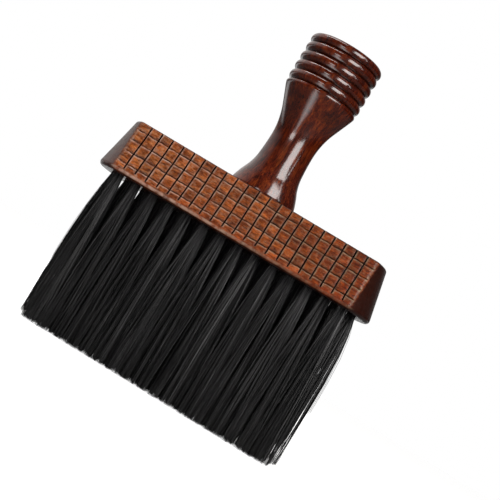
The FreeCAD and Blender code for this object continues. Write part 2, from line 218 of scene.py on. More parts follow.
def half_outline(length, depth, columns):
    """Front face left to right, then the right end: plan points and outward normals."""
    end_x = length / 2 - END_RADIUS
    aside = depth / 2 - CORNER_RADIUS
    along = math.sqrt((END_RADIUS - CORNER_RADIUS) ** 2 - aside**2)
    flat_x = end_x + along
    turn = math.atan2(aside, along)
    points = [(-(FLAT_LIMIT + flat_x) / 2, -depth / 2)]
    points += [(x, -depth / 2) for x in columns]
    points += [((FLAT_LIMIT + flat_x) / 2, -depth / 2)]
    normals = [(0.0, -1.0)] * len(points)
    corner = np.linspace(0, 1, CORNER_STEPS) * (math.pi / 2 - turn)
    end = turn * (2 * np.linspace(0, 1, END_STEPS)[1:-1] - 1)
    for centre, radius, angles in (
        ((flat_x, -aside), CORNER_RADIUS, -math.pi / 2 + corner),
        ((end_x, 0), END_RADIUS, end),
        ((flat_x, aside), CORNER_RADIUS, turn + corner),
    ):
        for angle in angles:
            normals.append((math.cos(angle), math.sin(angle)))
            points.append((centre[0] + radius * normals[-1][0], centre[1] + radius * normals[-1][1]))
    return np.array(points), np.array(normals)


def whole_outline(length, depth, columns):
    """The second half of the plan is the first turned by half a turn."""
    points, normals = half_outline(length, depth, columns)
    return np.concatenate((points, -points)), np.concatenate((normals, -normals))


def rim_arc(lean, radius, top):
    """Rounded rim in section: (inset, height) rows, tangent to the flat and to the leaning side."""
    shares = np.linspace(0, 1, RIM_STEPS)
    if top:
        middle = ((HEIGHT - radius) * math.tan(lean) + radius / math.cos(lean), HEIGHT - radius)
        angles = lean + shares * (math.pi / 2 - lean)
    else:
        middle = (radius * (1 + math.sin(lean)) / math.cos(lean), radius)
        angles = -math.pi / 2 + shares * (math.pi / 2 + lean)
    return [(middle[0] - radius * math.cos(a), middle[1] + radius * math.sin(a)) for a in angles]


def side_heights():
    """Heights of the rows between the two rims, dense at each groove and at the kerfs' feet."""
    heights = list(ROWS_BELOW)
    around = both_sides(GROOVE_SECTION)
    for number in range(GROOVE_COUNT):
        middle = GROOVE_FIRST + number * GROOVE_PITCH
        heights += [(middle + offset) * math.cos(LEAN) for offset in around]
        if number < GROOVE_COUNT - 1:
            heights += [(middle + offset) * math.cos(LEAN) for offset in TILE_ROWS]
    return heights + list(ROWS_ABOVE)


def block_rows(low, top, normals):
    """Points of every row of the block's side, without the cuts, in mm above its base."""
    heights = side_heights()
    rows = np.zeros((len(heights) + 2 * RIM_STEPS, len(low), 3))
    for column in range(len(low)):
        lean = math.atan(float((low[column] - top[column]) @ normals[column]) / HEIGHT)
        section = rim_arc(lean, RIM_LOW, False)
        section += [(height * math.tan(lean), height) for height in heights]
        section += rim_arc(lean, RIM_TOP, True)
        for row, (inset, height) in enumerate(section):
            spot = low[column] + (top[column] - low[column]) * height / HEIGHT
            spot = spot - normals[column] * (inset - height * math.tan(lean))
            rows[row, column] = (spot[0], spot[1], height)
    return rows


def cut_face(rows, side, rng):
    """Cuts the kerfs and grooves into one long face (side -1 is the front) and crowns its tiles. For each
    point, returns how deep it is cut, its rubbed lacquer and painted highlight, the tone of its tile and
    whether it is in the tiled field."""
    x = rows[..., 0]
    height = rows[..., 2]
    facing = rows[..., 1] * side
    plane = (DEPTH_LOW + (DEPTH_TOP - DEPTH_LOW) * height / HEIGHT) / 2
    behind = (plane - facing) * math.cos(LEAN)
    near = behind < FACE_DEPTH
    up = height / math.cos(LEAN)

    # Saw cuts, each with its own depth and foot.
    kerf_number = np.clip(np.round(x / TILE_PITCH), -LAST_KERF, LAST_KERF)
    kerf_offset = np.abs(x - kerf_number * TILE_PITCH)
    kerf_index = (kerf_number + LAST_KERF).astype(int)
    deep = np.interp(kerf_offset, *zip(*KERF_SECTION))
    depth_of_kerf = rng.uniform(0.93, 1.05, KERF_COUNT)[kerf_index]
    foot_of_kerf = rng.uniform(-0.25, 0.35, KERF_COUNT)[kerf_index]
    deep = deep * depth_of_kerf * step(height, KERF_FOOT[0] + foot_of_kerf, KERF_FOOT[1] + foot_of_kerf)
    kerf = np.clip(deep - behind, 0, None) * near

    # Grooves along the face.
    groove_number = np.clip(np.round((up - GROOVE_FIRST) / GROOVE_PITCH), 0, GROOVE_COUNT - 1)
    groove_offset = np.abs(up - GROOVE_FIRST - groove_number * GROOVE_PITCH)
    groove = np.clip(np.interp(groove_offset, *zip(*GROOVE_SECTION)) - behind, 0, None) * near

    # Tiles: each one's crown, tilt and tone.
    across = (x / TILE_PITCH) % 1.0
    tile_row = np.clip(np.floor((up - GROOVE_FIRST) / GROOVE_PITCH) + 1, 0, GROOVE_COUNT)
    low_edge = np.where(tile_row == 0, TILES_UP[0], GROOVE_FIRST + (tile_row - 1) * GROOVE_PITCH)
    high_edge = np.where(tile_row == GROOVE_COUNT, TILES_UP[1], GROOVE_FIRST + tile_row * GROOVE_PITCH)
    along = np.clip((up - low_edge) / (high_edge - low_edge), 0, 1)
    inside = (np.abs(x) < LAST_KERF * TILE_PITCH) & near
    crown = 16 * across * (1 - across) * along * (1 - along) * inside
    outer = LAST_KERF + 1
    tile = (np.clip(np.floor(x / TILE_PITCH), -outer, outer) + outer).astype(int), tile_row.astype(int)
    tone = rng.uniform(0, 1, (TONE_COLUMNS, GROOVE_COUNT + 1))[tile]
    tilt = rng.uniform(-1, 1, (TONE_COLUMNS, GROOVE_COUNT + 1, 2))[tile]
    tipped = tilt[..., 0] * (across - 0.5) + tilt[..., 1] * (along - 0.5)
    proud = PILLOW * crown + tipped * TIPPING * np.sqrt(np.clip(crown, 0, 1))

    # Move the points in, and let the saw cuts and the grooves waver.
    inward_y = -side * math.cos(LEAN)
    inward_z = -math.sin(LEAN)
    only_kerf = np.clip(kerf - groove, 0, None)
    rows[..., 1] += inward_y * (groove - proud) - side * only_kerf / math.cos(LEAN)
    rows[..., 2] += inward_z * (groove - proud)
    wander = 0.07 * np.sin(kerf_number * 12.9 + height * 0.35 + side)
    rows[..., 0] += wander * (kerf_offset < 0.6) * near * (np.abs(x) < CUT_LIMIT)
    sway = 0.06 * np.sin(x * 0.9 + groove_number * 5.1) + 0.05 * np.sin(x * 2.3 + groove_number * 2.7 + side)
    rows[..., 2] += sway * (1 - step(groove_offset, 0.6, 1.6)) * near

    # Rubbed lacquer with painted highlight beside the cuts on their lit sides, a painted highlight along the
    # low rim (fading to the right) and painted glints on the corners.
    kerf_wear_and_highlight = (1 - step(kerf_offset, 0.42, 0.95)) * (np.abs(x) < CUT_LIMIT)
    kerf_wear_and_highlight = kerf_wear_and_highlight * step(height, *KERF_FOOT) * np.where(x > kerf_number * TILE_PITCH, 1.0, SHADED_SIDE_SHARE)
    under_groove = up < GROOVE_FIRST + groove_number * GROOVE_PITCH
    groove_wear_and_highlight = (1 - step(groove_offset, 0.48, 1.05)) * np.where(under_groove, 1.0, SHADED_SIDE_SHARE)
    wear_and_highlight = np.maximum(kerf_wear_and_highlight, groove_wear_and_highlight) * (1 - step(behind, 0.15, 0.6))
    # Painted highlight along the low rim, partly thinner lacquer there, fading to the right.
    rim = step(up, 0.65, 1.0) * (1 - step(up, 1.35, 1.8)) * (1 - step(behind, 1.0, 1.6))
    rim = 1.4 * rim * (1 - 0.75 * step(x, -25.0, 45.0))
    # Painted glints on the corners, strongest at the groove ends.
    corner = step(behind, 0.02, 0.12) * (1 - step(behind, 0.25, 0.6)) * (np.abs(x) > FLAT_LIMIT + 0.5)
    glints = corner * step(up, 1.0, 2.0) * (0.35 + 0.65 * (1 - step(groove_offset, 0.6, 1.3)))
    wear_and_highlight = np.maximum(wear_and_highlight, np.maximum(rim, 0.7 * glints))
    tiled = (1 - step(behind, 0.3, 1.1)) * step(up, 0.2, 0.9) * (1 - step(up, 23.3, 23.9))
    return np.maximum(kerf, 0.5 * groove), wear_and_highlight, np.where(near & (np.abs(x) < TONE_LIMIT), tone, 0.5), tiled


def cap_faces(ring, holes, radius):
    """Triangles over a closed ring with round holes in it; indices count the ring, then the holes."""
    flat = [Vector((p[0], p[1])) for p in ring]
    loops = [list(range(len(flat)))]
    for hole in holes:
        loops.append(list(range(len(flat), len(flat) + len(hole))))
        flat += [Vector((p[0], p[1])) for p in hole]
    edges = []
    for loop in loops[1:]:
        edges += [(loop[i], loop[(i + 1) % len(loop)]) for i in range(len(loop))]
    spots, _, faces, origin, _, _ = delaunay_2d_cdt(flat, edges, [loops[0]], 1, 1e-7)
    source = [indices[0] for indices in origin]
    middles = [np.mean([p[:2] for p in hole], axis=0) for hole in holes]
    apothem = radius * math.cos(math.pi / HOLE_SIDES)
    kept = []
    for face in faces:
        centre = np.mean([spots[i] for i in face], axis=0)
        if all(np.hypot(*(centre - middle)) > apothem for middle in middles):
            kept.append([source[i] for i in face])
    return kept


def circle(x, y, z, radius):
    """Points round a level circle, counter-clockwise from above."""
    angles = [2 * math.pi * i / HOLE_SIDES for i in range(HOLE_SIDES)]
    return [(x + radius * math.cos(angle), y + radius * math.sin(angle), z) for angle in angles]


def blind_hole(x, y, mouth, sections, points, faces):
    """Adds a round hole with the given (height, radius) rings; the first ring is already in points."""
    before = mouth
    turns = range(HOLE_SIDES)
    upward = sections[-1][0] > sections[0][0]
    for height, radius in sections[1:]:
        first = len(points)
        points.extend(circle(x, y, height, radius))
        for i in turns:
            j = (i + 1) % HOLE_SIDES
            quad = [before + i, first + i, first + j, before + j]
            faces.append(quad if upward else quad[::-1])
        before = first
    floor = [before + i for i in turns]
    faces.append(floor[::-1] if upward else floor)


def make_block():
    """The block with its tiled faces, its tuft holes below and the dowel's bore on top."""
    rng = np.random.default_rng(SEED)
    columns = kerf_columns()
    low, normals = whole_outline(LENGTH_LOW, DEPTH_LOW, columns)
    top, top_normals = whole_outline(LENGTH_TOP, DEPTH_TOP, columns)
    normals = normals + top_normals
    normals /= np.linalg.norm(normals, axis=1, keepdims=True)
    rows = block_rows(low, top, normals)
    front_values = cut_face(rows, -1, rng)
    back_values = cut_face(rows, 1, rng)
    front = rows[..., 1] < 0
    count, around = rows.shape[:2]
    rows[..., 2] += BLOCK_BASE

    points = [tuple(p) for p in rows.reshape(-1, 3)]
    faces = grid_quads(count, around).tolist()
    flat_from = len(faces)

    mouths = [circle(x, y, BLOCK_BASE, HOLE_RADIUS + HOLE_CHAMFER) for x, y in tuft_places()]
    first_mouth = len(points)
    for mouth in mouths:
        points.extend(mouth)
    offset = first_mouth - around
    for face in cap_faces(rows[0], mouths, HOLE_RADIUS + HOLE_CHAMFER):
        faces.append([i if i < around else i + offset for i in face][::-1])
    bore = circle(0, 0, BLOCK_TOP, BORE_RADIUS)
    first_bore = len(points)
    points.extend(bore)
    start = (count - 1) * around
    for face in cap_faces(rows[-1], [bore], BORE_RADIUS):
        faces.append([i + start if i < around else i - around + first_bore for i in face])
    sections = [
        (BLOCK_BASE, HOLE_RADIUS + HOLE_CHAMFER),
        (BLOCK_BASE + HOLE_CHAMFER, HOLE_RADIUS),
        (BLOCK_BASE + HOLE_DEPTH, HOLE_RADIUS),
    ]
    for number, (x, y) in enumerate(tuft_places()):
        blind_hole(x, y, first_mouth + number * HOLE_SIDES, sections, points, faces)
    sections = [(BLOCK_TOP, BORE_RADIUS), (BLOCK_TOP - BORE_IN_BLOCK, BORE_RADIUS)]
    blind_hole(0, 0, first_bore, sections, points, faces)

    obj = new_object("block_tiled", points, faces, flat_from)
    in_holes = len(points) - count * around
    # Per point for the materials: cut depth for the painted shade in the cuts, rubbed lacquer with painted
    # highlight, tile tone and tiled field.
    for number, (name, rest) in enumerate((("cut", 0.0), ("wear_and_highlight", 0.0), ("tone", 0.5), ("tiled", 0.0))):
        values = np.where(front, front_values[number], back_values[number]).ravel()
        set_attribute(obj, name, np.concatenate((values, np.full(in_holes, rest))))
    return obj


# ---------------------------------------------------------------- handle


def arc(start, end, radius, hollow=False, count=9):
    """Points of a round arc from start to end in (radius, height), without the start.
    A plain arc bulges away from the axis, a hollow one towards it."""
    (r0, z0), (r1, z1) = start, end
    middle = ((r0 + r1) / 2, (z0 + z1) / 2)
    span = math.hypot(r1 - r0, z1 - z0)
    rise = math.sqrt(max(radius**2 - span**2 / 4, 0))
    normal = ((z1 - z0) / span, (r0 - r1) / span)
    way = 1 if hollow else -1
    centre = (middle[0] + way * rise * normal[0], middle[1] + way * rise * normal[1])
    first = math.atan2(z0 - centre[1], r0 - centre[0])
    last = math.atan2(z1 - centre[1], r1 - centre[0])
    sweep = (last - first + math.pi) % (2 * math.pi) - math.pi
    angles = [first + sweep * (i + 1) / count for i in range(count)]
    return [(centre[0] + radius * math.cos(a), centre[1] + radius * math.sin(a)) for a in angles]


def handle_profile():
    """Outline of the turned handle, (radius, height), from the bore's end round to the end's middle."""
    profile = [(0.001, BORE_DEPTH), (2.5, BORE_DEPTH)]
    profile += [(BORE_RADIUS, height) for height in (BORE_DEPTH, BORE_DEPTH - 0.2, 12.0, 0.2, 0.0)]
    profile += [(8.0, 0.0), (11.5, 0.0), (14.1, 0.0)]
    profile += [(14.35, 0.04), (14.52, 0.13), (14.6, 0.28), (14.6, 0.8)]
    profile += arc(profile[-1], (11.8, 8.3), 45, False, 14)
    profile += arc(profile[-1], (10.1, 16.0), 23, True, 12)
    profile += arc(profile[-1], (9.75, 24.0), 95, True, 10)
    profile += arc(profile[-1], (12.2, 36.8), 34.5, True, 18)
    profile += [(12.2 + 3.9 * i / 8, 36.8 + 9.4 * i / 8) for i in range(1, 8)]
    profile += arc((15.95, 45.85), (VALLEY_RADIUS, LIP), 1.5, False, 9)
    valley = LIP
    for _ in range(4):
        crown = (CROWN_RADIUS, valley + BEAD_PITCH / 2)
        valley += BEAD_PITCH
        profile += arc(profile[-1], crown, BEAD_ARC, False, 8)
        profile += arc(crown, (VALLEY_RADIUS, valley), BEAD_ARC, False, 8)
    profile += arc(profile[-1], (CROWN_RADIUS, 66.7), 1.668, False, 9)
    profile += arc(profile[-1], (14.1, HANDLE_TOP), 2.3, False, 10)
    profile += [(radius, HANDLE_TOP) for radius in (12.5, 10.0, 7.0, 4.0, 1.5)]
    profile += [(1.1, 68.93), (0.5, 68.6), (0.001, 68.4)]
    return np.array(profile)


def make_handle():
    """Turned handle, with the slight waver of hand finishing."""
    rng = np.random.default_rng(SEED + 1)
    profile = handle_profile()
    turn = np.linspace(0, 2 * math.pi, LATHE_SIDES, endpoint=False)
    radius = profile[:, 0][:, None] * np.ones(LATHE_SIDES)
    height = profile[:, 1][:, None] * np.ones(LATHE_SIDES)
    outside = (profile[:, 0] > 9) & (profile[:, 1] > 1.2) & (profile[:, 1] < 68.6)
    for lobe in (2, 3, 5):
        phase = rng.uniform(0, 6.28)
        size = rng.uniform(0.015, 0.035)
        slow = np.sin(profile[:, 1] * rng.uniform(0.1, 0.3) + phase)[:, None]
        radius += outside[:, None] * size * slow * np.cos(lobe * turn + phase)
    height += outside[:, None] * 0.04 * np.cos(turn + profile[:, 1][:, None] * 0.4)
    points = np.stack((radius * np.cos(turn), radius * np.sin(turn), height + BLOCK_TOP), -1)
    faces = grid_quads(len(profile), LATHE_SIDES).tolist()
    obj = new_object("handle_turned", points.reshape(-1, 3), faces)
    # Mask for painted shade in the valleys between the beads.
    beaded = np.interp(profile[:, 1], (46.5, LIP, 65.0, 66.2), (0, 1, 1, 0))
    valley = np.clip((16.2 - profile[:, 0]) / 1.3, 0, 1) * beaded * outside
    set_attribute(obj, "cut", np.repeat(valley, LATHE_SIDES))
    return obj


# ---------------------------------------------------------------- bristles


def tuft_rows():
    """Name stem, count and distance from the middle plane of each row of tufts."""
    return (("front", 14, -ROW_PITCH), ("middle", 15, 0.0), ("back", 14, ROW_PITCH))


def tuft_places():
    """Plan position of every tuft's hole, in mm."""
    places = []
    for _, count, y in tuft_rows():
        places += [((number - (count - 1) / 2) * TUFT_PITCH, y) for number in range(count)]
    return places


def make_tuft(name, x, y, rng):
    """One tuft: filaments reaching up to their fold point in their hole, splayed below it and trimmed unevenly
    at the tips.
    """
    total = HAIRS + STRAYS
    end_tuft = abs(x) > OUTERMOST
    loose = x < LOOSE_COLUMNS
    panel = PANEL_RIGHT if x > 0 else PANEL_LEFT
    outward = 1 if x > 0 else -1

    # Roots and tips in plan, the tips gathered around some leaders and kept inside the brush's outline.
    angle = rng.uniform(0, 2 * math.pi, total)
    reach = np.sqrt(rng.uniform(0, 1, total))
    unit = np.stack((np.cos(angle), np.sin(angle)), -1) * reach[:, None]
    root = unit * (ROOT_RADIUS + 0.1 * (y == 0) + (0.0 if loose else 0.15))
    tip = unit * TIP_SPREAD + rng.normal(0, 0.45, (total, 2))
    leaders = rng.choice(total, LEADERS, replace=False)
    nearest = np.argmin(np.linalg.norm(unit[:, None] - unit[leaders][None], axis=2), axis=1)
    gather = rng.uniform(0.15, 0.6, LEADERS)[nearest][:, None] * (0.4 if end_tuft else 1.0)
    shift = rng.normal(0, 0.4, (LEADERS, 2))[nearest]
    tip = tip + (tip[leaders][nearest] - tip) * gather + shift
    tip[HAIRS:] += rng.normal(0, 1.5, (STRAYS, 2))
    limit = panel - abs(x) + rng.uniform(-0.9, 0.6, total)
    tip[:, 0] = outward * np.minimum(tip[:, 0] * outward, limit)

    # How much shorter than the longest each filament is, more so at the brush's sides.
    length = BLOCK_BASE - CAD_LOW.z / MM
    trim = rng.uniform(0, 0.3, LEADERS)[nearest] + np.minimum(rng.exponential(0.4, total), 2.5)
    trim += np.where(rng.uniform(0, 1, total) < 0.04, rng.uniform(1, 6, total), 0)
    beside = step(np.abs(tip[:, 0] + x), panel - 4.0, panel + 0.3)
    trim += (4.5 if x < 0 else 2.2) * beside * rng.uniform(0.2, 1, total)
    trim = np.minimum(trim, LONGEST_TRIM)

    # The way of each filament down from its root: it splays early, bows and ripples a little.
    along = np.clip(DOWN, 0, 1)
    power = 1.4 if loose else 1.6
    if end_tuft:
        power = 4.0 if loose else 6.0
    spread = 1 - (1 - along) ** power
    path = root[:, None] + (tip - root)[:, None] * spread[None, :, None]
    bow = rng.normal(0, 0.28, (total, 2))
    bow += rng.normal(0, 0.18, (LEADERS, 2))[nearest]
    bow[HAIRS:] *= 2.5
    path += bow[:, None] * np.sin(along * math.pi)[None, :, None]
    ripple = rng.normal(0, 0.1, (total, 2))
    path += ripple[:, None] * np.sin(along * 3 * math.pi)[None, :, None]
    path[:, 0] = root * 0.9
    heights = BLOCK_BASE - along[None] * (length - trim[:, None])
    heights[:, 0] = BLOCK_BASE + FOLD_DEPTH
    taper = np.interp(DOWN, (0, 0.7, 1.0), (1.0, 0.95, 0.6))
    thick = HAIR_RADIUS * rng.uniform(0.85, 1.15, total)[:, None] * taper[None]

    # A three-sided tube round each way, closed at both ends.
    turn = rng.uniform(0, 2 * math.pi, total)[:, None] + np.arange(HAIR_SIDES) * 2 * math.pi / HAIR_SIDES
    ring = np.stack((np.cos(turn), np.sin(turn)), -1)
    flat = path[:, :, None] + ring[:, None] * thick[:, :, None, None]
    points = np.empty((total, len(DOWN), HAIR_SIDES, 3))
    points[..., :2] = flat + (x, y)
    points[..., 2] = heights[:, :, None]
    per_hair = len(DOWN) * HAIR_SIDES
    sides = grid_quads(len(DOWN), HAIR_SIDES)[:, [0, 3, 2, 1]]
    starts = (np.arange(total) * per_hair)[:, None, None]
    faces = (sides[None] + starts).reshape(-1, 4).tolist()
    ends = np.array([[0, 1, 2], [per_hair - 1, per_hair - 2, per_hair - 3]])
    faces += (ends[None] + starts).reshape(-1, HAIR_SIDES).tolist()
    obj = new_object(name, points.reshape(-1, 3), faces)
    tone = np.clip(rng.normal(0.5, 0.24, total) + rng.normal(0, 0.06, LEADERS)[nearest], 0, 1)
    set_attribute(obj, "tone", np.repeat(tone, per_hair))
    return obj


# ---------------------------------------------------------------- materials


def fill(tree, made, inputs):
    """Links or sets a node's inputs, by name or number."""
    for key, value in inputs.items():
        if isinstance(value, bpy.types.NodeSocket):
            tree.links.new(value, made.inputs[key])
        else:
            made.inputs[key].default_value = value


def node(tree, kind, inputs=None, **settings):
    """New node with its settings and its input values or links."""
    made = tree.nodes.new(kind)
    for key, value in settings.items():
        setattr(made, key, value)
    fill(tree, made, inputs or {})
    return made


def axes(tree, place):
    """The X, Y and Z of a place."""
    return node(tree, "ShaderNodeSeparateXYZ", {0: place}).outputs


def map_range(tree, value, low, high, first=0.0, last=1.0):
    """Number that goes from first to last while the value goes from low to high, and is held outside."""
    return node(tree, "ShaderNodeMapRange", {0: value, 1: low, 2: high, 3: first, 4: last}).outputs[0]


def stretched_noise(tree, place, stretch, scale, detail=3.0, rough=0.55, warp=0.0):
    """Noise over the object's own coordinates, which are first scaled by stretch, axis by axis."""
    moved = node(tree, "ShaderNodeMapping", {"Vector": place, "Scale": stretch})
    settings = {"Scale": scale, "Detail": detail, "Roughness": rough, "Distortion": warp}
    return node(tree, "ShaderNodeTexNoise", {"Vector": moved.outputs[0], **settings}).outputs["Fac"]


def ramp(tree, value, stops):
    """Colour ramp over a number; each stop is a place and a colour or grey."""
    made = node(tree, "ShaderNodeValToRGB", {"Fac": value})
    elements = made.color_ramp.elements
    while len(elements) < len(stops):
        elements.new(0.5)
    for element, (place, colour) in zip(elements, stops):
        element.position = place
        shade = colour if isinstance(colour, tuple) else (colour, colour, colour)
        element.color = (*shade, 1)
    return made.outputs["Color"]


def mix(tree, share, first, second, blend="MIX"):
    """Mix of two colours by a share."""
    made = tree.nodes.new("ShaderNodeMix")
    made.data_type = "RGBA"
    made.blend_type = blend
    for socket, value in ((made.inputs[0], share), (made.inputs[6], first), (made.inputs[7], second)):
        if isinstance(value, bpy.types.NodeSocket):
            tree.links.new(value, socket)
        elif isinstance(value, tuple):
            socket.default_value = (*value, 1)
        else:
            socket.default_value = value
    return made.outputs[2]


def tint(tree, base, colour, share=1.0):
    """Base multiplied by a colour or grey, to this share."""
    return mix(tree, share, base, colour, "MULTIPLY")


def math_node(tree, operation, first, second=0.0, third=0.0):
    """Number worked out from up to three numbers or links."""
    return node(tree, "ShaderNodeMath", {0: first, 1: second, 2: third}, operation=operation).outputs[0]


def new_material(name):
    """Empty node material: its tree, shader and the object's own coordinates."""
    material = bpy.data.materials.new(name)
    material.use_nodes = True
    tree = material.node_tree
    tree.nodes.clear()
    shader = node(tree, "ShaderNodeBsdfPrincipled")
    output = node(tree, "ShaderNodeOutputMaterial")
    tree.links.new(shader.outputs[0], output.inputs[0])
    place = node(tree, "ShaderNodeTexCoord").outputs["Object"]
    return material, tree, shader, place


def bump(tree, height, distance, strength):
    """Bump from a height, its distance in mm."""
    inputs = {"Height": height, "Distance": distance * MM, "Strength": strength}
    return node(tree, "ShaderNodeBump", inputs).outputs[0]


def attribute(tree, name):
    """Number that the mesh carries under this name."""
    return node(tree, "ShaderNodeAttribute", attribute_name=name).outputs["Fac"]


def wood_grain(tree, place, axis, colours, cloud_scale=95, length=1.0):
    """Stained wood with its grain along an axis: colour and a height for the bump.
    A length below 1 gives shorter streaks."""
    def stretch(across):
        return tuple(1.0 / length if number == axis else across for number in range(3))

    streak = stretched_noise(tree, place, stretch(9), 70, 4, 0.6, 0.8)
    fibre = stretched_noise(tree, place, stretch(16), 190, 3, 0.6)
    pores = stretched_noise(tree, place, stretch(9), 420, 2, 0.5)
    clouds = stretched_noise(tree, place, (1, 1, 1), cloud_scale, 4, 0.6, 0.4)
    dark, middle, light = colours
    base = ramp(tree, streak, ((0.3, dark), (0.5, middle), (0.68, light)))
    tint_factor = ramp(tree, clouds, ((0.32, 0.5), (0.5, 0.95), (0.68, 1.3)))
    base = tint(tree, base, tint_factor, 0.75)
    fine = ramp(tree, fibre, ((0.32, 0.45), (0.66, 1.4)))
    base = tint(tree, base, fine, 0.85)
    open_pores = ramp(tree, pores, ((0.57, 0.0), (0.66, 1.0)))
    base = mix(tree, math_node(tree, "MULTIPLY", open_pores, 0.6), base, tuple(0.35 * c for c in dark))
    height = math_node(tree, "SUBTRACT", fibre, open_pores)
    return base, height


def block_wood():
    """Lacquered orange-brown wood, redder near its base, with fine specks, partly painted glints, painted shade
    that darkens it towards the right, rubbed lacquer and painted highlights on the tiles' edges and the rim,
    and painted shade in the cuts. The plain faces are a darker, glossier lacquer with more painted shade."""
    material, tree, shader, place = new_material("block_lacquered_wood")
    colours = ((0.1, 0.019, 0.004), (0.33, 0.078, 0.015), (0.53, 0.165, 0.038))
    base, height = wood_grain(tree, place, 0, colours, cloud_scale=230, length=0.5)
    x, _, z = axes(tree, place)
    rightward = map_range(tree, x, CAD_LOW.x, CAD_HIGH.x)
    # Painted shade: multiplied darker and redder towards the right, where less light falls, and a little
    # lighter on the left.
    tint_factor = ((0.1, (1.05, 1.06, 1.1)), (0.5, (0.95, 0.82, 0.7)), (0.95, (0.6, 0.33, 0.2)))
    base = tint(tree, base, ramp(tree, rightward, tint_factor))
    upward = map_range(tree, z, BLOCK_BASE * MM, (BLOCK_BASE + REDDER_UP_TO) * MM)
    base = tint(tree, base, ramp(tree, upward, ((0.1, (0.95, 0.68, 0.5)), (0.9, 1.0))))

    # Pale specks, partly dirt and partly painted glints, paler on the left and darker to the right as painted
    # shade; then dark specks.
    specks = stretched_noise(tree, place, (0.6, 1, 1), 900, 3, 0.65)
    dust_and_glints = ramp(tree, rightward, ((0.1, (0.5, 0.29, 0.18)), (0.9, (0.3, 0.13, 0.06))))
    base = mix(tree, ramp(tree, specks, ((0.5, 0.0), (0.66, 0.45))), base, dust_and_glints)
    base = mix(tree, ramp(tree, specks, ((0.32, 0.55), (0.46, 0.0))), base, (0.06, 0.018, 0.008))

    tiled = attribute(tree, "tiled")
    # Painted shade: the untiled faces (ends, top, underside, rims) get a darker lacquer, then are multiplied
    # darker, most of all towards the right.
    darker = ramp(tree, rightward, ((0.0, (0.46, 0.34, 0.34)), (1.0, (0.12, 0.08, 0.08))))
    plain = tint(tree, mix(tree, 0.5, base, (0.27, 0.075, 0.025)), darker)
    base = mix(tree, tiled, plain, base)
    base = tint(tree, base, ramp(tree, attribute(tree, "tone"), ((0.0, 0.74), (0.5, 1.0), (1.0, 1.22))))

    uneven = stretched_noise(tree, place, (1, 1, 1), 330, 3, 0.6)
    patches = ramp(tree, uneven, ((0.36, 0.15), (0.6, 1.0)))
    # Rubbed lacquer and painted highlight on the tiles' lit edges, the rim and the corners; the pale colour
    # dims towards the right as painted shade.
    worn_and_lit = math_node(tree, "MULTIPLY", attribute(tree, "wear_and_highlight"), patches)
    rubbed_and_lit_colour = ((0.15, (0.66, 0.41, 0.31)), (0.7, (0.4, 0.26, 0.16)), (0.95, (0.36, 0.25, 0.16)))
    base = mix(tree, worn_and_lit, base, ramp(tree, rightward, rubbed_and_lit_colour))
    # Painted shade in the kerfs and grooves, patchy, partly lacquer pooled dark there.
    patches = ramp(tree, uneven, ((0.35, 0.45), (0.6, 1.0)))
    cut = math_node(tree, "MULTIPLY", attribute(tree, "cut"), patches)
    cut = ramp(tree, cut, ((0.06, 0.0), (0.25, 0.8), (0.5, 0.97)))
    base = mix(tree, cut, base, (0.008, 0.003, 0.002))

    rough_grain = math_node(tree, "MULTIPLY_ADD", uneven, 0.7, height)
    fill(tree, shader, {
        "Base Color": base,
        "Roughness": ramp(tree, uneven, ((0.3, 0.34), (0.7, 0.52))),
        "Normal": bump(tree, rough_grain, 0.11, 0.8),
        "Specular IOR Level": 0.12,
        "Coat Weight": ramp(tree, tiled, ((0.0, 0.85), (1.0, 0.25))),
        "Coat Roughness": 0.18,
        "Coat IOR": 1.48,
        "Coat Normal": bump(tree, rough_grain, 0.05, 0.6),
    })
    return material


def handle_wood():
    """Deep red-brown glossy lacquer over mottled wood with its grain along the handle, painted lighter on the
    left and darker towards the right as painted light and shade, and dark between the beads as painted shade."""
    material, tree, shader, place = new_material("handle_lacquered_wood")
    colours = ((0.042, 0.0045, 0.0016), (0.118, 0.0145, 0.0034), (0.235, 0.042, 0.0065))
    base, height = wood_grain(tree, place, 2, colours, cloud_scale=150, length=0.8)
    rightward = map_range(tree, axes(tree, place)[0], -SHADE_REACH * MM, SHADE_REACH * MM)
    # Painted light and shade: lighter on the left, darker on the right.
    tint_factor = ((0.1, (1.35, 1.2, 1.1)), (0.5, 1.0), (0.9, (0.62, 0.5, 0.45)))
    base = tint(tree, base, ramp(tree, rightward, tint_factor))
    # Painted shade in the valleys between the beads.
    cut = math_node(tree, "MULTIPLY", attribute(tree, "cut"), 0.75)
    base = mix(tree, cut, base, (0.012, 0.004, 0.003))
    fill(tree, shader, {
        "Base Color": base,
        "Roughness": ramp(tree, stretched_noise(tree, place, (1, 1, 1), 300, 3), ((0.3, 0.28), (0.7, 0.42))),
        "Normal": bump(tree, height, 0.02, 0.5),
        "Specular IOR Level": 0.05,
        "Coat Weight": 1.0,
        "Coat Roughness": 0.15,
        "Coat IOR": 1.75,
        "Coat Normal": bump(tree, stretched_noise(tree, place, (1, 1, 1), 260, 2), 0.05, 0.5),
    })
    return material


